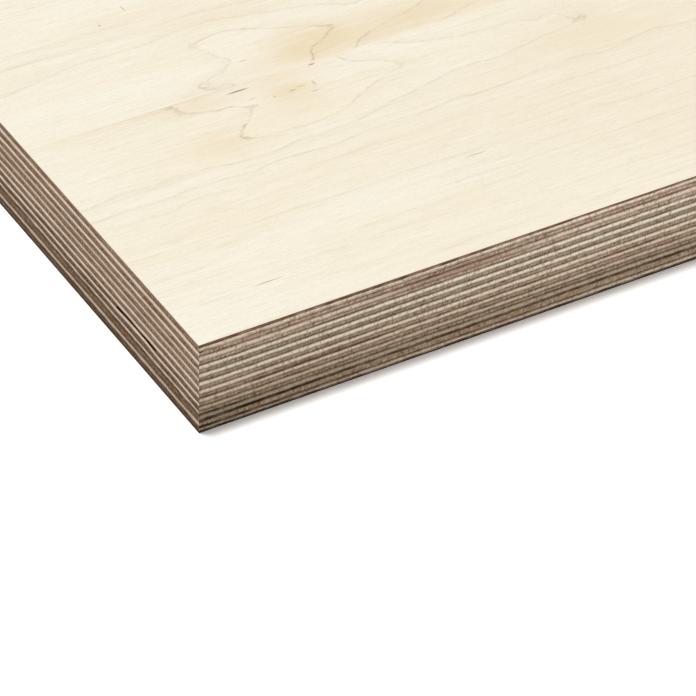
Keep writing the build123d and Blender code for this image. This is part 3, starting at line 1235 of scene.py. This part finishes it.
# %% [markdown]
# The leaves
#
# A leaf is a thin closed sheet. Its visible side is a grid fine enough to carry the ages, its sawn rim
# is one narrow wall, and its glued side is plain. The outer arris is eased by a few hundredths of a
# millimetre, as sandpaper leaves it, so it catches the light as a thin line.

# %% Make the leaves
arris = 0.05 * mm
arris_drop = 0.03 * mm
joint_drop = 0.012 * mm
leaf_map_rows = 8
leaf_wall_top = 0.10
slope_reach = 0.4
least_slope, most_slope = 0.06, 0.6
near_fine, fine_across = 0.15, 0.075
leaf_seed, least_tone = 900, 0.965
far_glue = 2


def leaf_grid(node, fine_x, fine_y, widest_x, widest_y):
    """Stations along and across a leaf, finer near the corner, with one close to each rim for the arris."""
    start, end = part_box(node)
    x_places = low.x + stations(sheet_length, fine_x, widest_x)
    y_fine = fine_y if start.y - low.y < near_fine else widest_y
    y_places = start.y + stations(end.y - start.y, y_fine, widest_y, fine_across)
    x_places = np.sort(np.append(x_places, [low.x + arris, high.x - arris]))
    y_places = np.sort(np.append(y_places, [start.y + arris, end.y - arris]))
    return x_places, y_places


def make_leaf(node, face_up, steps, material):
    """One leaf of the face or of the back, as a closed mesh with its ages."""
    start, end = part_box(node)
    x_places, y_places = leaf_grid(node, *steps)
    nx, ny = len(x_places), len(y_places)
    x, y = (grid.ravel() for grid in np.meshgrid(x_places, y_places))
    column, row = (grid.ravel() for grid in np.meshgrid(np.arange(nx), np.arange(ny)))
    outer, inner, inward = (end.z, start.z, -1) if face_up else (start.z, end.z, 1)
    at_end = (column == 0) | (column == nx - 1)
    at_side = (row == 0) | (row == ny - 1)
    outside = ((row == 0) & (start.y - low.y < arris)) | ((row == ny - 1) & (high.y - end.y < arris))
    drop = np.where(outside | at_end, arris_drop, np.where(at_side, joint_drop, 0.0))
    grid_points = np.column_stack([x, y, outer + inward * drop])
    ring = Ring(x_places, y_places)
    rim = list(range(nx - 1)) + [(j + 1) * nx - 1 for j in range(ny - 1)]
    rim += [ny * nx - 1 - i for i in range(nx - 1)] + [(ny - 1 - j) * nx for j in range(ny - 1)]
    inner_ring = np.column_stack([ring.places, np.full(ring.count, inner)])
    first_inner = len(grid_points)
    i, j = (grid.ravel() for grid in np.meshgrid(np.arange(nx - 1), np.arange(ny - 1)))
    corner = j * nx + i
    squares = np.column_stack([corner, corner + 1, corner + nx + 1, corner + nx])
    wall = [
        (first_inner + k, first_inner + (k + 1) % ring.count, rim[(k + 1) % ring.count], rim[k])
        for k in range(ring.count)
    ]
    cap = ring.cap(first_inner, False)
    if not face_up:
        squares = squares[:, ::-1]
        wall = [face[::-1] for face in wall]
        cap = [face[::-1] for face in cap]
    faces = squares.tolist() + wall + cap
    slots = [face_slot] * len(squares) + [edge_slot] * len(wall) + [hidden_slot] * len(cap)
    points = np.concatenate([grid_points, inner_ring])
    edge = veneer_edge if face_up else back_veneer_edge
    mesh = make_mesh(node + "_veneer", points, faces, slots, [edge, glued_face, material])
    set_values(mesh, leaf_values(points, start, end, face_up))
    strips = 4 if end.y - start.y < near_fine else 3
    lay_out_map(mesh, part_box(node), strips, leaf_map_rows, leaf_wall_top)
    return put_in_place(node + "_veneer", mesh, node)


def leaf_values(points, start, end, face_up):
    """Ages, colour drift and the distances to the glue, of which a leaf's visible side has none near."""
    x = (points[:, 0] - low.x) / mm
    middle = (start.y + end.y) / 2
    inside = (np.clip(points[:, 1], start.y + 1e-6, end.y - 1e-6) - low.y) / mm
    side = face_side if face_up else back_side
    age = ring_age(x, inside, side)
    across = (ring_age(x, inside + slope_reach, side) - age) / slope_reach
    along = (ring_age(x + slope_reach, inside, side) - age) / slope_reach
    chance = np.random.default_rng(int(middle * 1000) + leaf_seed + side)
    tone = 1.0 if face_up and start.y - low.y < near_fine else chance.uniform(least_tone, 1.0)
    rise = (points[:, 2] - start.z) / mm
    ones = np.ones(len(x))
    on_end = (x < 0.01) & face_up
    return {
        "ring_age": age,
        "ring_slope": np.clip(np.hypot(across, along), least_slope, most_slope),
        "warm": spots(x, inside, warm_places) if face_up else ones * 0,
        "stained": spots(x, inside, stained_places) if face_up else ones * 0,
        "tone": ones * tone,
        "rise": rise if face_up else ones * far_glue,
        "drop": ones * far_glue if face_up else (end.z - start.z) / mm - rise,
        "seep": np.where(on_end, left_soak[0], 1.0),
        "warmth": ones * left_warmth,
    }


fine_steps = (1.0 * mm, 1.0 * mm, 12 * mm, 4 * mm)
plain_steps = (14 * mm, 3.5 * mm, 14 * mm, 3.5 * mm)
coarse_steps = (25 * mm, 6 * mm, 25 * mm, 6 * mm)
face_leaves = [
    make_leaf(node, True, fine_steps if number < 2 else plain_steps, maple_face)
    for number, node in enumerate(face_names)
]
back_leaves = [make_leaf(node, False, coarse_steps, maple_back) for node in back_names]
pieces = plies + face_leaves + back_leaves
triangles = {piece.name: sum(len(face.vertices) - 2 for face in piece.data.polygons) for piece in pieces}
print(len(pieces), "pieces,", sum(triangles.values()), "triangles, most in one:", max(triangles.values()))
